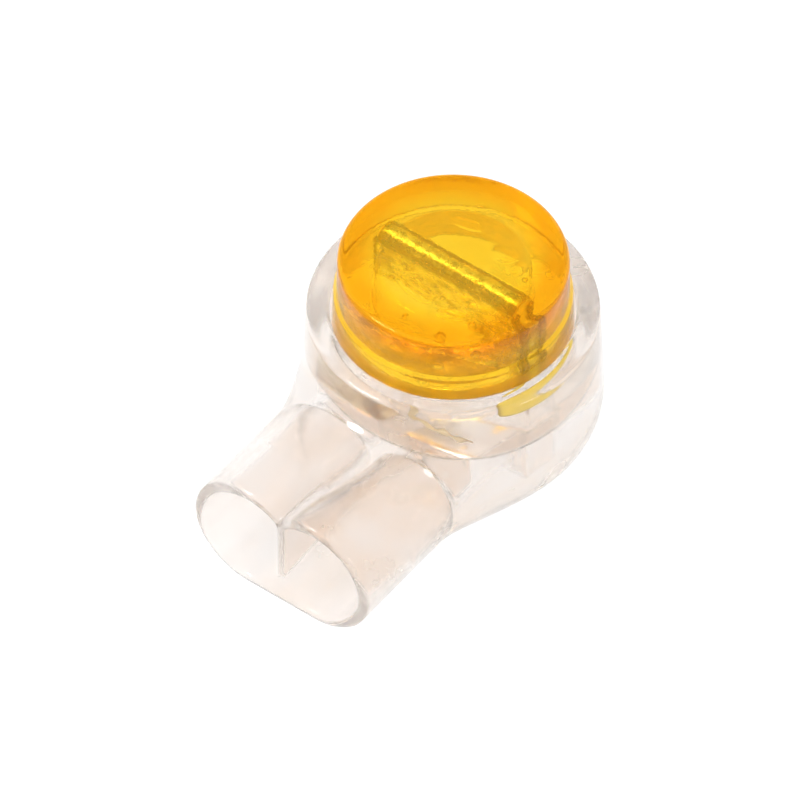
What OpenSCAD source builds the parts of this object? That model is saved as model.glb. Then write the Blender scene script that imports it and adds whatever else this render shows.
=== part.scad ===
// Two-wire insulation-displacement splice: a clear housing with two wire
// ports, an amber press cap that carries a slotted U-shaped contact, and a
// sealing gel in the cap and in the housing's pocket.
// Millimetres. +Z is the way the cap comes off, the wire ports face -Y, and
// the origin is on the can's axis, on the flat underside.

/* [Housing can] */
// Outside diameter of the can at its widest
can_d = 10.0; // [9.8:0.05:10.4]
// Outside diameter of the can at the rim
can_rim_d = 9.64; // [9.5:0.02:9.8]
// Height of the can from the underside to the rim
can_h = 6.10; // [6.0:0.05:6.4]
// Radius of the rounded lower edge of the can
can_round = 2.4; // [1.6:0.1:2.5]
// Chamfer on the rim's outer edge
rim_chamfer = 0.12; // [0.06:0.02:0.2]
// Diameter of the pocket that the cap slides in
pocket_d = 8.10; // [8.06:0.01:8.16]
// Height of the pocket floor above the underside
floor_z = 3.20; // [3.15:0.05:3.3]

/* [Wire ports] */
// Distance from the can's axis to the face of the wire ports
snout_l = 9.38; // [8.8:0.02:10.5]
// Outside width over both ports
snout_w = 7.06; // [6.9:0.02:7.4]
// Outside height of the ports
snout_h = 4.40; // [4.2:0.02:4.6]
// Wall thickness at the mouths
mouth_wall = 0.36; // [0.3:0.02:0.5]
// Thickness of the web between the two mouths
web_t = 0.26; // [0.2:0.02:0.5]
// Depth of the tapered, D-shaped mouths
mouth_depth = 4.20; // [3.0:0.05:4.6]
// Radius at the inner end of the mouths' taper
mouth_end_r = 1.34; // [1.25:0.02:1.5]
// Diameter of the wire bores
bore_d = 2.24; // [2.2:0.02:2.3]
// Distance between the two wire bores
bore_pitch = 3.20; // [3.1:0.02:3.3]
// Height of the wire bores' axes
bore_z = 1.90; // [1.85:0.05:1.95]
// Reach of the wire channels past the can's axis
channel_end = 2.90; // [2.6:0.1:2.9]

/* [Press cap] */
// Diameter of the cap's upper drum
cap_d = 7.60; // [7.4:0.02:7.8]
// Diameter of the cap's guide band
band_d = 7.98; // [7.9:0.01:8.02]
// Height of the cap
cap_h = 2.90; // [2.8:0.02:3.1]
// Height that the waiting cap stands above the rim
cap_up = 2.34; // [2.2:0.02:2.36]
// Height of the guide band, from the cap's lower edge
band_h = 1.30; // [0.9:0.05:1.5]
// Thickness of the cap's roof
roof_t = 0.60; // [0.5:0.05:0.8]
// Inside diameter of the cap's skirt
skirt_d = 5.30; // [5.0:0.05:5.5]

/* [Contact] */
// Length of the contact across both wires
contact_l = 5.90; // [5.7:0.05:5.95]
// Outside width of the folded contact
contact_w = 1.00; // [0.9:0.02:1.1]
// Thickness of the contact's sheet
sheet_t = 0.28; // [0.22:0.02:0.32]
// Cover of the cap's roof over the contact's fold
contact_cover = 0.35; // [0.3:0.05:0.4]
// Height of the contact
contact_h = 4.77; // [4.6:0.01:4.8]
// Width of the wire slots
slot_w = 0.34; // [0.28:0.02:0.44]
// Depth of the wire slots
slot_depth = 2.30; // [1.9:0.1:2.6]

/* [Hidden] */
e = 0.01;
arc_n = 20;
cap_top = can_h + cap_up;
cap_low = cap_top - cap_h;
contact_top = cap_top - contact_cover;
contact_tip = contact_top - contact_h;
port_r = snout_h / 2;
port_x = snout_w / 2 - port_r;
bore_r = bore_d / 2;
bore_x = bore_pitch / 2;
pocket_r = pocket_d / 2;
slot_play = 0.05;

// Points of an arc of radius r about c, from angle a0 to a1.
function arc(c, r, a0, a1, n = arc_n) =
    [for (i = [0:n]) let (a = a0 + (a1 - a0) * i / n) [c[0] + r * cos(a), c[1] + r * sin(a)]];

// Extrudes an XZ outline along Y, from y0 to y1.
module along_y(y0, y1) {
    translate([0, y1, 0]) rotate([90, 0, 0]) linear_extrude(height = y1 - y0) children();
}

// Round rod along Y.
module rod_y(r, y0, y1, x, z, r2 = -1) {
    translate([x, y0, z]) rotate([-90, 0, 0])
        cylinder(r1 = r, r2 = r2 < 0 ? r : r2, h = y1 - y0, $fn = 64);
}

// Outline of both ports: two round backs with a valley between them, on one
// flat underside.
module ports_outline(grow = 0) {
    r = port_r + grow;
    va = acos(port_x / r);
    polygon(concat(
        arc([port_x, port_r], r, -90, 180 - va, 30),
        arc([-port_x, port_r], r, va, 270, 30)));
}

// One mouth: a tapered circle inside the port's back, cut flat at the web.
module mouth(side) {
    difference() {
        rod_y(port_r - mouth_wall, -snout_l, -snout_l + mouth_depth, side * port_x, port_r, mouth_end_r);
        translate([side > 0 ? -10 + web_t / 2 : -web_t / 2, -20, -1]) cube([10, 20, 10]);
    }
    // the same outline carried out past the face
    difference() {
        rod_y(port_r - mouth_wall, -snout_l - 1, -snout_l + e, side * port_x, port_r);
        translate([side > 0 ? -10 + web_t / 2 : -web_t / 2, -20, -1]) cube([10, 20, 10]);
    }
}

module can() {
    r = can_d / 2;
    rr = can_rim_d / 2;
    rotate_extrude($fn = 96) polygon(concat(
        [[0, 0]],
        arc([r - can_round, can_round], can_round, -90, 0, 14),
        [[rr, can_h - rim_chamfer], [rr - rim_chamfer, can_h], [0, can_h]]));
}

module housing() {
    color([0.93, 0.90, 0.88, 0.4]) difference() {
        union() {
            can();
            along_y(-snout_l, -1.5) ports_outline();
        }
        translate([0, 0, floor_z]) cylinder(r = pocket_r, h = can_h, $fn = 96);
        // lead-in at the pocket's mouth
        translate([0, 0, can_h - 0.15]) cylinder(r1 = pocket_r, r2 = pocket_r + 0.15, h = 0.15 + e, $fn = 96);
        for (s = [-1, 1]) {
            // D-shaped mouth, funnel and wire bore
            mouth(s);
            rod_y(bore_r + 0.12, -snout_l + mouth_depth - 0.6, -snout_l + mouth_depth + 0.2, s * bore_x, bore_z, bore_r);
            rod_y(bore_r, -snout_l + mouth_depth - 0.6, channel_end, s * bore_x, bore_z);
            // open channel in the pocket's floor
            translate([s * bore_x - bore_r, -channel_end, bore_z]) cube([bore_d, 2 * channel_end, floor_z - bore_z + e]);
        }
        // slot that the contact's blades drop into
        translate([-contact_l / 2 - 0.15, -contact_w / 2 - 0.15, 0.8]) cube([contact_l + 0.3, contact_w + 0.3, 3]);
    }
}

module press_cap() {
    r = cap_d / 2;
    rb = band_d / 2;
    zt = cap_top;
    zl = cap_low;
    color([1.0, 0.66, 0.08, 0.85]) difference() {
        rotate_extrude($fn = 96) polygon(concat(
            [[0, zl], [rb - 0.12, zl], [rb, zl + 0.12], [rb - 0.06, zl + band_h], [r + 0.03, zl + band_h + 0.15]],
            arc([r - 0.2, zt - 0.2], 0.2, 0, 90, 8),
            [[0, zt]]));
        translate([0, 0, zl - 1]) cylinder(d = skirt_d, h = cap_h - roof_t + 1, $fn = 96);
        // slot that grips the contact in the skirt and the roof
        translate([-contact_l / 2 - slot_play, -contact_w / 2 - slot_play, zl - 1])
            cube([contact_l + 2 * slot_play, contact_w + 2 * slot_play, contact_top + slot_play - zl + 1]);
    }
}

// Section of the folded strip: two blades joined by a round fold at the top.
module fold_outline() {
    ro = contact_w / 2;
    ri = ro - sheet_t;
    polygon(concat(
        [[ro, 0]], arc([0, contact_h - ro], ro, 0, 180, 12), [[-ro, 0], [-ri, 0]],
        arc([0, contact_h - ro], ri, 180, 0, 12), [[ri, 0]]));
}

// Wire slot with a V-shaped lead-in and a round end.
module wire_slot(x) {
    translate([x, 0, 0]) {
        translate([-slot_w / 2, -2, -1]) cube([slot_w, 4, 1 + slot_depth]);
        translate([0, 2, slot_depth]) rotate([90, 0, 0]) cylinder(r = slot_w / 2 + 0.08, h = 4, $fn = 32);
        along_y(-2, 2) polygon([[-0.62, -0.1], [0.62, -0.1], [0.62, 0], [slot_w / 2, 0.62], [-slot_w / 2, 0.62], [-0.62, 0]]);
    }
}

module contact_element() {
    color([0.80, 0.79, 0.74]) translate([0, 0, contact_tip]) difference() {
        translate([-contact_l / 2, 0, 0]) rotate([90, 0, 90]) linear_extrude(height = contact_l) fold_outline();
        for (s = [-1, 1]) {
            wire_slot(s * bore_x);
            // stress-relief notch between the slots and the chamfered outer corners
            along_y(-2, 2) translate([s * contact_l / 2, 0]) rotate(45) square([0.7, 0.7], center = true);
            // narrowed shoulders at the fold
            translate([s * (contact_l / 2) - 0.15, -2, contact_h - 0.55]) cube([0.3, 4, 1]);
        }
        along_y(-2, 2) polygon([[-0.5, -0.1], [0.5, -0.1], [0.5, 0], [0, 0.55], [-0.5, 0]]);
    }
}

// Gel in the cap: one charge in each half of the skirt, either side of the contact.
module cap_sealant() {
    color([0.95, 0.85, 0.35, 0.5]) for (s = [-1, 1]) intersection() {
        translate([0, 0, cap_low + 0.15]) cylinder(d = skirt_d - 0.1, h = cap_h - roof_t - 0.2, $fn = 96);
        translate([-5, s > 0 ? contact_w / 2 + 0.08 : -5 - contact_w / 2 - 0.08, 0]) cube([10, 5, 20]);
    }
}

// Gel in the pocket, between the channels and the waiting cap.
module pocket_sealant() {
    color([0.95, 0.92, 0.75, 0.4]) difference() {
        translate([0, 0, floor_z + 0.04]) cylinder(r = pocket_r - 0.1, h = cap_low - floor_z - 0.12, $fn = 96);
        translate([-contact_l / 2 - 0.1, -contact_w / 2 - 0.1, 0]) cube([contact_l + 0.2, contact_w + 0.2, 20]);
    }
}

housing();
press_cap();
contact_element();
cap_sealant();
pocket_sealant();
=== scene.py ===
import math

import bpy
import numpy as np
from mathutils import Matrix, Vector


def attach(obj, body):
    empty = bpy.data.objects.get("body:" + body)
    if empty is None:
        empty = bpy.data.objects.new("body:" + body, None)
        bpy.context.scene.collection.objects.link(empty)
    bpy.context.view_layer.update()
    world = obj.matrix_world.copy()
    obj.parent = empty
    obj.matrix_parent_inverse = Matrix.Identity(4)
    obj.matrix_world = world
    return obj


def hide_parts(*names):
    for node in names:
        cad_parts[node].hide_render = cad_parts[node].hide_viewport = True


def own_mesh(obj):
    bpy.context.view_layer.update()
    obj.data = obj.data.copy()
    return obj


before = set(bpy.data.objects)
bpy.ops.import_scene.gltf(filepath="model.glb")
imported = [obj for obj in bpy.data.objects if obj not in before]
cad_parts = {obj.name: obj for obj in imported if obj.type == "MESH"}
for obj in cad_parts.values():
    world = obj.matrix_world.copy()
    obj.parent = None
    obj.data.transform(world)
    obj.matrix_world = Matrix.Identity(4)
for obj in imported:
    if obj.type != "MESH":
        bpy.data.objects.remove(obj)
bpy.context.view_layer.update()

MM = 0.001

# Sizes in millimetres, in the CAD frame.
CAN_R, RIM_R, CAN_H, CAN_ROUND = 5.0, 4.82, 6.10, 2.4
POCKET_R, FLOOR_Z = 4.05, 3.20
PORT_X, PORT_R, SNOUT_Y = 1.33, 2.20, -9.38
BORE_X, BORE_Z, BORE_R = 1.60, 1.90, 1.12
CAP_TOP, CAP_LOW = 8.44, 5.54
CAP_R, BAND_R, SKIRT_R = 3.80, 3.99, 2.65
CONTACT_L, CONTACT_W, SHEET = 5.90, 1.00, 0.28
CONTACT_TOP = CAP_TOP - 0.35
CONTACT_TIP = CONTACT_TOP - 4.77


# ---------------------------------------------------------------- fields
def iround(a, b, r):
    """Intersection of two fields with an edge of radius r."""
    return np.minimum(-r, np.maximum(a, b)) + np.hypot(np.maximum(r + a, 0), np.maximum(r + b, 0))


def uround(a, b, r):
    """Union of two fields with a fillet of radius r."""
    return np.maximum(r, np.minimum(a, b)) - np.hypot(np.maximum(r - a, 0), np.maximum(r - b, 0))


def cut(a, b, r):
    """Field a with b taken out, the new edges rounded by r."""
    return iround(a, -b, r)


def smooth(e0, e1, v):
    t = np.clip((v - e0) / (e1 - e0), 0, 1)
    return t * t * (3 - 2 * t)


def wob(x, y, z, f, seed):
    """Gentle waves, about 1 high, that stand for the uneven skin of a small moulding."""
    rng = np.random.default_rng(seed)
    out = 0.0
    for _ in range(5):
        k = rng.normal(size=3)
        k *= f / np.linalg.norm(k) * rng.uniform(0.6, 1.4)
        out = out + np.sin(k[0] * x + k[1] * y + k[2] * z + rng.uniform(0, 6.28))
    return out / 5


def mesh_from_field(name, fn, lo, hi, h, steps=5):
    """Closed quad mesh of fn = 0 by surface nets, its points moved onto the surface."""
    lo, hi = np.array(lo, float), np.array(hi, float)
    n = np.ceil((hi - lo) / h).astype(int) + 1
    ax = [lo[i] + h * np.arange(n[i]) for i in range(3)]
    f = np.empty(n, np.float32)
    for i in range(0, n[0], 32):
        X, Y, Z = np.meshgrid(ax[0][i : i + 32], ax[1], ax[2], indexing="ij")
        f[i : i + 32] = fn(X, Y, Z)
    s = f < 0
    cnt = np.zeros(tuple(n - 1), np.int8)
    for dx in (0, 1):
        for dy in (0, 1):
            for dz in (0, 1):
                cnt += s[dx : n[0] - 1 + dx, dy : n[1] - 1 + dy, dz : n[2] - 1 + dz]
    act = (cnt > 0) & (cnt < 8)
    idx = np.full(act.shape, -1, np.int64)
    cells = np.argwhere(act)
    idx[act] = np.arange(len(cells))
    acc = np.zeros((len(cells), 3))
    num = np.zeros(len(cells))
    corners = [(a, b, c) for a in (0, 1) for b in (0, 1) for c in (0, 1)]
    for a in corners:
        for k in range(3):
            if a[k]:
                continue
            b = list(a)
            b[k] = 1
            fa = f[cells[:, 0] + a[0], cells[:, 1] + a[1], cells[:, 2] + a[2]].astype(float)
            fb = f[cells[:, 0] + b[0], cells[:, 1] + b[1], cells[:, 2] + b[2]].astype(float)
            hit = (fa < 0) != (fb < 0)
            t = np.where(hit, fa / np.where(hit, fa - fb, 1), 0)
            p = np.array(a, float) + t[:, None] * (np.array(b, float) - np.array(a, float))
            acc[hit] += p[hit]
            num[hit] += 1
    v = lo + h * (cells + acc / num[:, None])
    quads = []
    for k in range(3):
        u, w = [(1, 2), (2, 0), (0, 1)][k]
        sl0, sl1 = [slice(None)] * 3, [slice(None)] * 3
        sl0[k], sl1[k] = slice(0, n[k] - 1), slice(1, n[k])
        a, b = s[tuple(sl0)], s[tuple(sl1)]
        for sign in (True, False):
            e = np.argwhere((a != b) & (a == sign))
            e = e[(e[:, u] > 0) & (e[:, w] > 0) & (e[:, u] < n[u] - 1) & (e[:, w] < n[w] - 1)]
            ring = []
            for du, dw in ((-1, -1), (0, -1), (0, 0), (-1, 0)):
                c = e.copy()
                c[:, u] += du
                c[:, w] += dw
                ring.append(idx[c[:, 0], c[:, 1], c[:, 2]])
            q = np.stack(ring, 1)
            quads.append(q if sign else q[:, ::-1])
    quads = np.concatenate(quads)
    assert (quads >= 0).all(), name + " runs out of its grid"
    d = 0.02 * h

    def grad(p):
        g = np.empty_like(p)
        for k in range(3):
            q = p.copy()
            q[:, k] += d
            up = fn(q[:, 0], q[:, 1], q[:, 2])
            q[:, k] -= 2 * d
            g[:, k] = (up - fn(q[:, 0], q[:, 1], q[:, 2])) / (2 * d)
        return g

    for _ in range(steps):
        g = grad(v)
        m = np.maximum((g * g).sum(1), 0.25)
        step = (fn(v[:, 0], v[:, 1], v[:, 2]) / m)[:, None] * g
        v = v - np.clip(step, -0.5 * h, 0.5 * h)
    return build(name, v, quads)


def build(name, verts_mm, faces, smooth_faces=True):
    me = bpy.data.meshes.new(name)
    verts_mm = np.asarray(verts_mm, float)
    if isinstance(faces, np.ndarray):
        nf, k = faces.shape
        me.vertices.add(len(verts_mm))
        me.vertices.foreach_set("co", (verts_mm * MM).ravel())
        me.loops.add(nf * k)
        me.loops.foreach_set("vertex_index", faces.ravel().astype(np.int32))
        me.polygons.add(nf)
        me.polygons.foreach_set("loop_start", (np.arange(nf) * k).astype(np.int32))
        me.update(calc_edges=True)
        me.validate()
    else:
        me.from_pydata([tuple(p) for p in verts_mm * MM], [], faces)
        me.update()
    if smooth_faces:
        me.polygons.foreach_set("use_smooth", np.ones(len(me.polygons), bool))
    ob = bpy.data.objects.new(name, me)
    bpy.context.scene.collection.objects.link(ob)
    return ob


# ---------------------------------------------------------------- shapes
def can_field(x, y, z):
    r = np.hypot(x, y)
    wall = np.where(z > 2.4, ((r - CAN_R) * 3.75 + (z - 2.4) * (CAN_R - RIM_R)) / 3.7543, r - CAN_R)
    return iround(iround(wall, -z, CAN_ROUND), z - CAN_H, 0.13)


def ports_field(x, y, z):
    a = np.hypot(x - PORT_X, z - PORT_R) - PORT_R
    b = np.hypot(x + PORT_X, z - PORT_R) - PORT_R
    valley = 0.25 + 2.2 * smooth(-9.0, -4.6, y)
    top = uround(a, b, valley)
    box = np.maximum(np.abs(x) - PORT_X, np.maximum(-z, z - PORT_R))
    outline = np.minimum(top, box)
    return np.maximum(iround(outline, SNOUT_Y - y, 0.12), y + 1.0)


def voids_field(x, y, z):
    ax = np.abs(x)
    back = y - SNOUT_Y
    deep = smooth(0.0, 4.4, back)
    cx, cz = PORT_X + (BORE_X - PORT_X) * deep, PORT_R + (BORE_Z - PORT_R) * deep
    ring = np.hypot(ax - cx, z - cz) - (1.845 - 0.10 * back)
    d = iround(ring, 0.13 + 0.03 * back - ax, 0.14)
    d = np.maximum(d, y - (SNOUT_Y + 5.0))
    bore = np.hypot(ax - BORE_X, z - BORE_Z) - BORE_R
    bore = np.maximum(bore, np.maximum(y - 2.9, SNOUT_Y + 3.4 - y))
    ports = uround(d, bore, 0.7)
    chan = np.maximum(np.abs(ax - BORE_X) - BORE_R, np.maximum(np.maximum(BORE_Z - z, z - 3.6), np.abs(y) - 2.9))
    slot = np.maximum(ax - 3.1, np.maximum(np.abs(y) - 0.65, np.maximum(0.8 - z, z - 3.9)))
    r = np.hypot(x, y)
    pocket = iround(r - POCKET_R, FLOOR_Z - z, 0.18)
    return np.minimum(np.minimum(ports, chan), np.minimum(slot, pocket))


def housing_field(x, y, z):
    k = 1.25 - 0.40 * smooth(2.6, 4.3, z)
    body = uround(can_field(x, y, z), ports_field(x, y, z), k)
    body = np.maximum(body, -z)
    body = cut(body, voids_field(x, y, z), 0.07)
    return np.maximum(body, can_cap(x, y, z))


def can_cap(x, y, z):
    return z - CAN_H


def hollow_field(x, y, z):
    """Inside of the cap's skirt, up to the underside of its roof."""
    r = np.hypot(x, y)
    return iround(r - (SKIRT_R - 0.04 * (z - CAP_LOW)), z - (CAP_TOP - 0.6), 0.25)


def grip_field(x, y, z):
    """Space in the roof and skirt that grips the contact, a little inside the metal's skin."""
    strip = np.hypot(y, np.maximum(z - (CONTACT_TOP - CONTACT_W / 2), 0)) - 0.46
    return np.maximum(strip, np.abs(x) - 2.84)


def cap_field(x, y, z):
    r = np.hypot(x, y)
    t = smooth(CAP_LOW + 1.28, CAP_LOW + 1.46, z)
    wall = r - ((BAND_R - 0.045 * (z - CAP_LOW)) * (1 - t) + (CAP_R + 0.03 - 0.02 * (z - 7.0)) * t)
    d = iround(iround(wall, z - CAP_TOP, 0.2), CAP_LOW - z, 0.1)
    return cut(d, np.minimum(hollow_field(x, y, z), grip_field(x, y, z)), 0.05)


def contact_field(x, y, z):
    t = z - CONTACT_TIP
    h = CONTACT_TOP - CONTACT_TIP
    ro = CONTACT_W / 2
    half = CONTACT_L / 2
    skin = 0.012 * wob(x, y, z, 17.0, 3) + 0.008 * wob(x, y, z, 31.0, 4)
    rr = np.hypot(y, np.maximum(t - (h - ro), 0))
    strip = np.abs(rr - (ro - SHEET / 2)) - SHEET / 2 + 0.012 + skin
    saw = 0.03 * (1 - np.cos(2 * math.pi * z / 0.44))
    d = iround(iround(strip, np.abs(x) - half + saw, 0.05), -t, 0.05)
    u = np.abs(x) - BORE_X
    slot = np.minimum(np.maximum(np.abs(u) - 0.17, t - 2.3), np.hypot(u, t - 2.3) - 0.25)
    vee = np.maximum((np.abs(u) - 0.62 + 0.7258 * t) / 1.2357, t - 0.9)
    notch = (np.abs(x) - 0.5 + 0.909 * t) / 1.3515
    corner = (half - np.abs(x) + t - 0.495) / 1.4142
    shoulder = np.maximum(half - 0.15 - np.abs(x), h - 0.55 - t)
    gone = np.minimum(np.minimum(slot, vee), np.minimum(np.minimum(notch, corner), shoulder))
    return cut(d, gone, 0.04)


# Air pockets and bubbles in the cap's gel: centre, half sizes and turn in degrees.
AIR = [
    ((-0.35, -1.55, 7.86), (0.78, 0.30, 0.16), -8),
    ((-0.95, -1.05, 7.88), (0.30, 0.16, 0.12), 30),
    ((1.25, -1.75, 7.86), (0.55, 0.20, 0.12), 24),
    ((1.05, 1.45, 7.86), (0.46, 0.34, 0.15), 20),
    ((1.75, 1.15, 7.86), (0.26, 0.40, 0.13), -10),
    ((-0.75, 1.75, 7.87), (0.62, 0.22, 0.10), 12),
    ((0.35, -1.05, 7.2), (0.09, 0.09, 0.09), 0),
    ((-1.60, -1.25, 7.0), (0.12, 0.12, 0.12), 0),
    ((1.65, -1.20, 6.7), (0.16, 0.16, 0.14), 0),
    ((0.95, -1.95, 6.3), (0.20, 0.18, 0.16), 0),
    ((-0.40, -2.05, 6.5), (0.10, 0.10, 0.10), 0),
    ((1.90, 1.35, 6.9), (0.10, 0.10, 0.10), 0),
]


def cap_gel_field(x, y, z):
    low = CAP_LOW + 0.16 + 0.05 * wob(x, y, 0 * z, 2.2, 11) - z
    d = np.maximum(hollow_field(x, y, z) - 0.015, -grip_field(x, y, z))
    d = iround(d, low, 0.12)
    air = np.full_like(d, 9.0)
    for (cx, cy, cz), (a, b, c), turn in AIR:
        k, n = math.cos(math.radians(turn)), math.sin(math.radians(turn))
        u, v = (x - cx) * k + (y - cy) * n, (y - cy) * k - (x - cx) * n
        q = np.sqrt((u / a) ** 2 + (v / b) ** 2 + ((z - cz) / c) ** 2)
        air = np.minimum(air, (q - 1 + 0.10 * wob(x, y, z, 5.0, 21)) * min(a, b, c))
    return cut(d, air, 0.02)


def pocket_gel_field(x, y, z):
    r = np.hypot(x, y)
    top = CAP_LOW - 0.14 + 0.05 * wob(x, y, 0 * z, 1.6, 12) - 0.05 * smooth(3.0, 4.0, r)
    d = iround(np.maximum(r - POCKET_R - 0.015, FLOOR_Z - 0.012 - z), z - top, 0.08)
    slot = np.maximum(np.abs(x) - 2.98, np.abs(y) - 0.53)
    air = np.full_like(d, 9.0)
    for i in range(9):
        a, q = 2.4 * i + 0.7, 1.3 + 2.3 * ((i * 0.618) % 1)
        air = np.minimum(air, np.sqrt((x - q * math.cos(a)) ** 2 + (y - q * math.sin(a)) ** 2 + (z - 3.7 - 0.16 * i) ** 2) - 0.10 - 0.012 * i)
    return cut(d, np.minimum(slot, air), 0.04)


def film(name, path, wide, thick, n=48, m=10):
    """Thin lens of gel that clings to the pocket's wall. path gives (angle, height) along it, wide its half width."""
    verts, faces = [], []
    u = np.linspace(-1, 1, n + 1)
    v = np.linspace(-1, 1, m + 1)
    ids = {}
    for side in (1, -1):
        for i in range(n + 1):
            for j in range(m + 1):
                edge = i in (0, n) or j in (0, m)
                if edge and side < 0:
                    ids[side, i, j] = ids[1, i, j]
                    continue
                ang, high = path(u[i])
                full = max(0.0, 1 - abs(u[i]) ** 3) ** 0.5
                w = wide(u[i]) * max(full, 0.03)
                zz = high + w * v[j]
                lift = 0.0 if edge else thick * math.sqrt(max(0.0, 1 - v[j] ** 2)) * max(full, 0.05)
                rr = POCKET_R - 0.005 + side * lift * 0.5
                ids[side, i, j] = len(verts)
                verts.append((rr * math.cos(ang), rr * math.sin(ang), zz))
        for i in range(n):
            for j in range(m):
                q = (ids[side, i, j], ids[side, i + 1, j], ids[side, i + 1, j + 1], ids[side, i, j + 1])
                faces.append(q if side > 0 else q[::-1])
    return build(name, np.array(verts), faces)


# ---------------------------------------------------------------- nodes
def material(name):
    m = bpy.data.materials.new(name)
    m.use_nodes = True
    nt = m.node_tree
    nt.nodes.clear()
    out = nt.nodes.new("ShaderNodeOutputMaterial")
    bs = nt.nodes.new("ShaderNodeBsdfPrincipled")
    nt.links.new(bs.outputs[0], out.inputs[0])
    return m, nt, bs


def node(nt, kind, **values):
    n = nt.nodes.new(kind)
    for k, v in values.items():
        if k in n.inputs:
            n.inputs[k].default_value = v
        else:
            setattr(n, k, v)
    return n


def coords(nt):
    return nt.nodes.new("ShaderNodeTexCoord").outputs["Object"]


def noise(nt, vec, scale, detail=3.0, rough=0.55, distortion=0.0):
    n = node(nt, "ShaderNodeTexNoise", Scale=scale, Detail=detail, Roughness=rough, Distortion=distortion)
    nt.links.new(vec, n.inputs["Vector"])
    return n.outputs["Fac"]


def ramp(nt, fac, stops):
    n = nt.nodes.new("ShaderNodeValToRGB")
    while len(n.color_ramp.elements) < len(stops):
        n.color_ramp.elements.new(0.5)
    for e, (p, c) in zip(n.color_ramp.elements, stops):
        e.position = p
        e.color = (*c, 1)
    nt.links.new(fac, n.inputs[0])
    return n.outputs[0]


def spread(nt, fac, a, b, lo=0.3, hi=0.7):
    n = node(nt, "ShaderNodeMapRange")
    n.inputs["From Min"].default_value = lo
    n.inputs["From Max"].default_value = hi
    n.inputs["To Min"].default_value = a
    n.inputs["To Max"].default_value = b
    nt.links.new(fac, n.inputs["Value"])
    return n.outputs["Result"]


def bump(nt, height, strength, distance):
    n = node(nt, "ShaderNodeBump", Strength=strength, Distance=distance)
    nt.links.new(height, n.inputs["Height"])
    return n.outputs["Normal"]


def maths(nt, op, a, b):
    n = nt.nodes.new("ShaderNodeMath")
    n.operation = op
    for i, v in enumerate((a, b)):
        if isinstance(v, (int, float)):
            n.inputs[i].default_value = v
        else:
            nt.links.new(v, n.inputs[i])
    return n.outputs[0]


def clear_plastic():
    m, nt, bs = material("clear_plastic")
    vec = coords(nt)
    cloud = noise(nt, vec, 260, 4, 0.55, 0.6)
    fine = noise(nt, vec, 1900, 3)
    colour = ramp(nt, cloud, [(0.32, (0.960, 0.928, 0.906)), (0.50, (0.953, 0.893, 0.850)), (0.64, (0.947, 0.848, 0.765))])
    nt.links.new(colour, bs.inputs["Base Color"])
    nt.links.new(spread(nt, cloud, 0.14, 0.30), bs.inputs["Roughness"])
    wave = noise(nt, vec, 420, 2)
    h = maths(nt, "ADD", wave, maths(nt, "MULTIPLY", fine, 0.10))
    nt.links.new(bump(nt, h, 0.25, 0.00004), bs.inputs["Normal"])
    bs.inputs["Transmission Weight"].default_value = 0.95
    bs.inputs["IOR"].default_value = 1.18
    bs.inputs["Coat Weight"].default_value = 0.7
    bs.inputs["Coat Roughness"].default_value = 0.10
    return m


def amber_plastic():
    m, nt, bs = material("amber_plastic")
    vec = coords(nt)
    cloud = noise(nt, vec, 330, 4, 0.6, 1.2)
    # Painted shade: the base colour is a deeper orange on the thick rim of the roof than on the thin roof and the
    # skirt below it, standing in for the longer path that light takes through the amber there.
    part = nt.nodes.new("ShaderNodeSeparateXYZ")
    nt.links.new(vec, part.inputs[0])
    x, y, z = part.outputs
    r = maths(nt, "SQRT", maths(nt, "ADD", maths(nt, "MULTIPLY", x, x), maths(nt, "MULTIPLY", y, y)), 0.0)
    deep = maths(nt, "MULTIPLY", spread(nt, r, 0, 1, 0.0024, 0.0032), spread(nt, z, 0, 1, 0.0074, 0.0081))
    # Painted shade: the thick-rim mask pushes the colour ramp towards the deeper orange.
    tone = maths(nt, "ADD", maths(nt, "MULTIPLY", cloud, 0.4), maths(nt, "MULTIPLY", deep, 0.6))
    colour = ramp(nt, tone, [(0.10, (1.0, 0.75, 0.06)), (0.30, (1.0, 0.66, 0.025)), (0.80, (1.0, 0.45, 0.006))])
    nt.links.new(colour, bs.inputs["Base Color"])
    nt.links.new(spread(nt, cloud, 0.02, 0.09), bs.inputs["Roughness"])
    swirl = noise(nt, vec, 520, 3, 0.6, 2.2)
    nt.links.new(bump(nt, swirl, 0.35, 0.00006), bs.inputs["Normal"])
    bs.inputs["Transmission Weight"].default_value = 0.80
    bs.inputs["IOR"].default_value = 1.32
    bs.inputs["Specular Tint"].default_value = (1.0, 0.74, 0.28, 1)
    soak = node(nt, "ShaderNodeVolumeAbsorption", Density=120.0)
    soak.inputs["Color"].default_value = (0.995, 0.72, 0.02, 1)
    nt.links.new(soak.outputs[0], nt.nodes["Material Output"].inputs["Volume"])
    return m


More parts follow.
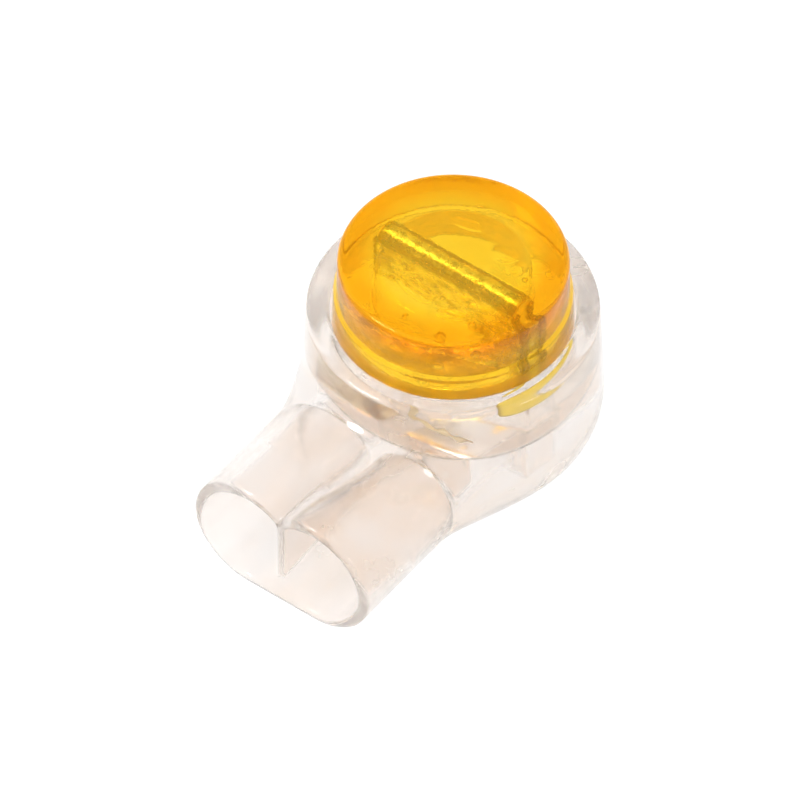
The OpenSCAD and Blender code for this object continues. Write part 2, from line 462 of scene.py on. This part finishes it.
def contact_metal():
    m, nt, bs = material("tinned_strip")
    vec = coords(nt)
    grain = noise(nt, vec, 3200, 4, 0.7)
    patch = noise(nt, vec, 1900, 4, 0.6)
    # Painted shade: the base colour is a darker brown on the shoulders of the bend along the top edge, so only its
    # crown stays bright; the cut ends are a darker brown as well.
    part = nt.nodes.new("ShaderNodeSeparateXYZ")
    nt.links.new(vec, part.inputs[0])
    side = maths(nt, "ABSOLUTE", part.outputs[1], 0.0)
    bend_shoulder_shade = maths(nt, "MULTIPLY", spread(nt, side, 0, 1, 0.00017, 0.00028), spread(nt, part.outputs[2], 0, 1, 0.0073, 0.0077))
    along = maths(nt, "ABSOLUTE", part.outputs[0], 0.0)
    shoulder_shade_and_dark_ends = maths(nt, "MAXIMUM", bend_shoulder_shade, spread(nt, along, 0, 1, 0.00268, 0.00286))
    # Painted shade: subtracting this mask darkens the bend's shoulders and the cut ends.
    shade = maths(nt, "SUBTRACT", patch, maths(nt, "MULTIPLY", shoulder_shade_and_dark_ends, 0.28))
    colour = ramp(nt, shade, [(0.26, (0.36, 0.20, 0.07)), (0.38, (0.56, 0.42, 0.24)), (0.48, (0.80, 0.70, 0.52)), (0.60, (1.0, 0.93, 0.78))])
    nt.links.new(colour, bs.inputs["Base Color"])
    nt.links.new(spread(nt, grain, 0.16, 0.42), bs.inputs["Roughness"])
    nt.links.new(bump(nt, grain, 0.8, 0.00004), bs.inputs["Normal"])
    bs.inputs["Metallic"].default_value = 1.0
    return m


def gel(name, colours, weight, ior=1.35):
    m, nt, bs = material(name)
    vec = coords(nt)
    cloud = noise(nt, vec, 700, 3, 0.5, 0.8)
    nt.links.new(ramp(nt, cloud, [(0.35, colours[0]), (0.7, colours[1])]), bs.inputs["Base Color"])
    nt.links.new(spread(nt, cloud, 0.02, 0.10), bs.inputs["Roughness"])
    nt.links.new(bump(nt, noise(nt, vec, 900, 2), 0.3, 0.00004), bs.inputs["Normal"])
    bs.inputs["Transmission Weight"].default_value = weight
    bs.inputs["IOR"].default_value = ior
    return m


def paint(ob, mat):
    ob.data.materials.clear()
    ob.data.materials.append(mat)


# ---------------------------------------------------------------- camera
def set_camera():
    az, el, roll = math.radians(36.777), math.radians(48.599), math.radians(-0.249)
    px, cx, cy, dist = 30.452, 416.08, 404.90, 500.0
    back = Vector((math.sin(az) * math.cos(el), -math.cos(az) * math.cos(el), math.sin(el)))
    right = Vector((math.cos(az), math.sin(az), 0))
    up = back.cross(right)
    r2 = right * math.cos(roll) - up * math.sin(roll)
    u2 = up * math.cos(roll) + right * math.sin(roll)
    centre = Vector((0, -2, 3)) - r2 * ((cx - 400) / px) + u2 * ((cy - 400) / px)
    cam = bpy.data.cameras.new("camera")
    cam.sensor_width = 36
    cam.lens = 36 * dist * px / 800
    cam.clip_start, cam.clip_end = 0.05, 20
    ob = bpy.data.objects.new("camera", cam)
    bpy.context.scene.collection.objects.link(ob)
    m = Matrix((r2, u2, back)).transposed().to_4x4()
    m.translation = (centre + back * dist) * MM
    ob.matrix_world = m
    bpy.context.scene.camera = ob


def area(name, pos, size, power, target=(0, -0.002, 0.003), tint=(1, 1, 1)):
    li = bpy.data.lights.new(name, "AREA")
    li.shape = "DISK"
    li.size = size
    li.energy = power
    li.color = tint
    ob = bpy.data.objects.new(name, li)
    bpy.context.scene.collection.objects.link(ob)
    ob.location = pos
    ob.rotation_euler = (Vector(target) - Vector(pos)).to_track_quat("-Z", "Y").to_euler()
    return ob


def set_stage():
    w = bpy.data.worlds.new("studio")
    bpy.context.scene.world = w
    w.use_nodes = True
    nt = w.node_tree
    bg = nt.nodes["Background"]
    # A white tent, with a grey card opposite the camera for the cap's flat top to mirror.
    dot = node(nt, "ShaderNodeVectorMath", operation="DOT_PRODUCT")
    nt.links.new(nt.nodes.new("ShaderNodeTexCoord").outputs["Generated"], dot.inputs[0])
    dot.inputs[1].default_value = (-0.396, 0.530, 0.750)
    card = ramp(nt, dot.outputs["Value"], [(0.0, (1, 1, 1)), (0.90, (1, 1, 1)), (0.955, (0.34, 0.34, 0.34)), (1.0, (0.30, 0.30, 0.30))])
    nt.links.new(card, bg.inputs[0])
    bg.inputs[1].default_value = 1.02
    n = 48
    verts = [(0.0, 0.0, 0.0)]
    faces = []
    for j, rr in enumerate((0.05, 0.4, 1.5)):
        for i in range(n):
            a = 2 * math.pi * i / n
            verts.append((rr * math.cos(a) * 1000, rr * math.sin(a) * 1000, -0.02))
    verts[0] = (0.0, 0.0, -0.02)
    for i in range(n):
        k = (i + 1) % n
        faces.append((0, 1 + i, 1 + k))
        for j in range(2):
            a, b = 1 + j * n, 1 + (j + 1) * n
            faces.append((a + i, b + i, b + k, a + k))
    floor = build("floor", np.array(verts), faces, False)
    m, nt, bs = material("floor_pale")
    vec = coords(nt)
    nt.links.new(ramp(nt, noise(nt, vec, 8), [(0.3, (0.12, 0.12, 0.12)), (0.7, (0.13, 0.13, 0.13))]), bs.inputs["Base Color"])
    bs.inputs["Roughness"].default_value = 0.9
    bs.inputs["Specular IOR Level"].default_value = 0.0
    bs.inputs["Emission Color"].default_value = (1, 1, 1, 1)
    bs.inputs["Emission Strength"].default_value = 0.93
    paint(floor, m)
    area("key", (-0.12, -0.12, 0.246), 0.08, 0.75)
    area("fill", (0.22, 0.02, 0.16), 0.06, 0.12)
    sc = bpy.context.scene
    sc.view_settings.view_transform = "Standard"
    sc.view_settings.look = "None"
    # Light crosses many clear walls here, so its paths are allowed to be long.
    sc.cycles.max_bounces = 40
    sc.cycles.transmission_bounces = 40
    sc.cycles.glossy_bounces = 16


# ---------------------------------------------------------------- pieces
def piece(ob, body, mat, *nodes, slot=None):
    paint(ob, mat)
    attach(ob, body)
    if nodes:
        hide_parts(*nodes)
    return ob


def make():
    h = 0.085
    plastic, amber, metal = clear_plastic(), amber_plastic(), contact_metal()
    cap_gel = gel("cap_gel_soft", ((0.99, 0.95, 0.70), (0.98, 0.91, 0.58)), 1.0)
    pocket_gel = gel("pocket_gel_soft", ((0.998, 0.993, 0.975), (0.995, 0.985, 0.955)), 1.0, 1.30)
    pale = gel("gel_smear_pale", ((0.95, 0.78, 0.42), (0.94, 0.74, 0.50)), 0.0)
    smear = gel("gel_smear", ((0.92, 0.68, 0.05), (0.82, 0.58, 0.04)), 0.0)

    housing = mesh_from_field("housing_shell", housing_field, (-5.25, -9.7, -0.2), (5.25, 5.25, 6.35), 1.09 * h)
    piece(housing, "splice_housing", plastic, "housing", slot="housing_plastic")
    cap = mesh_from_field("press_cap_shell", cap_field, (-4.2, -4.2, 5.4), (4.2, 4.2, 8.6), 0.8 * h)
    piece(cap, "press_button", amber, "press_cap", slot="cap_plastic")
    contact = mesh_from_field("contact_strip", contact_field, (-3.05, -0.62, 3.2), (3.05, 0.62, 8.2), 0.5 * h + 0.008)
    piece(contact, "press_button", metal, "contact_element", slot="contact_metal")
    g = mesh_from_field("cap_gel", cap_gel_field, (-2.8, -2.8, 5.5), (2.8, 2.8, 8.0), 0.7 * h)
    piece(g, "press_button", cap_gel, "cap_sealant", slot="cap_gel")
    g = mesh_from_field("pocket_gel", pocket_gel_field, (-4.25, -4.25, 3.0), (4.25, 4.25, 5.65), h)
    piece(g, "splice_housing", pocket_gel, "pocket_sealant", slot="pocket_gel")
    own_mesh(g)

    rad = math.radians
    f = film("gel_smear_right", lambda u: (rad(-4 + 29 * u), 5.27 + 0.03 * u * u + 0.06 * u), lambda u: 0.25 - 0.08 * u, 0.10)
    piece(f, "splice_housing", smear, slot="pocket_gel")
    f = film("gel_smear_upper", lambda u: (rad(-23.5 + 6.5 * u), 5.84 + 0.11 * u), lambda u: 0.07, 0.04)
    piece(f, "splice_housing", smear, slot="pocket_gel")
    f = film("gel_smear_front", lambda u: (rad(-59 + 15 * u), 4.7 - 0.62 * u + 0.05 * math.sin(9 * u)), lambda u: 0.12 + 0.05 * math.sin(13 * u), 0.05)
    piece(f, "splice_housing", pale, slot="pocket_gel")


set_camera()
set_stage()
make()
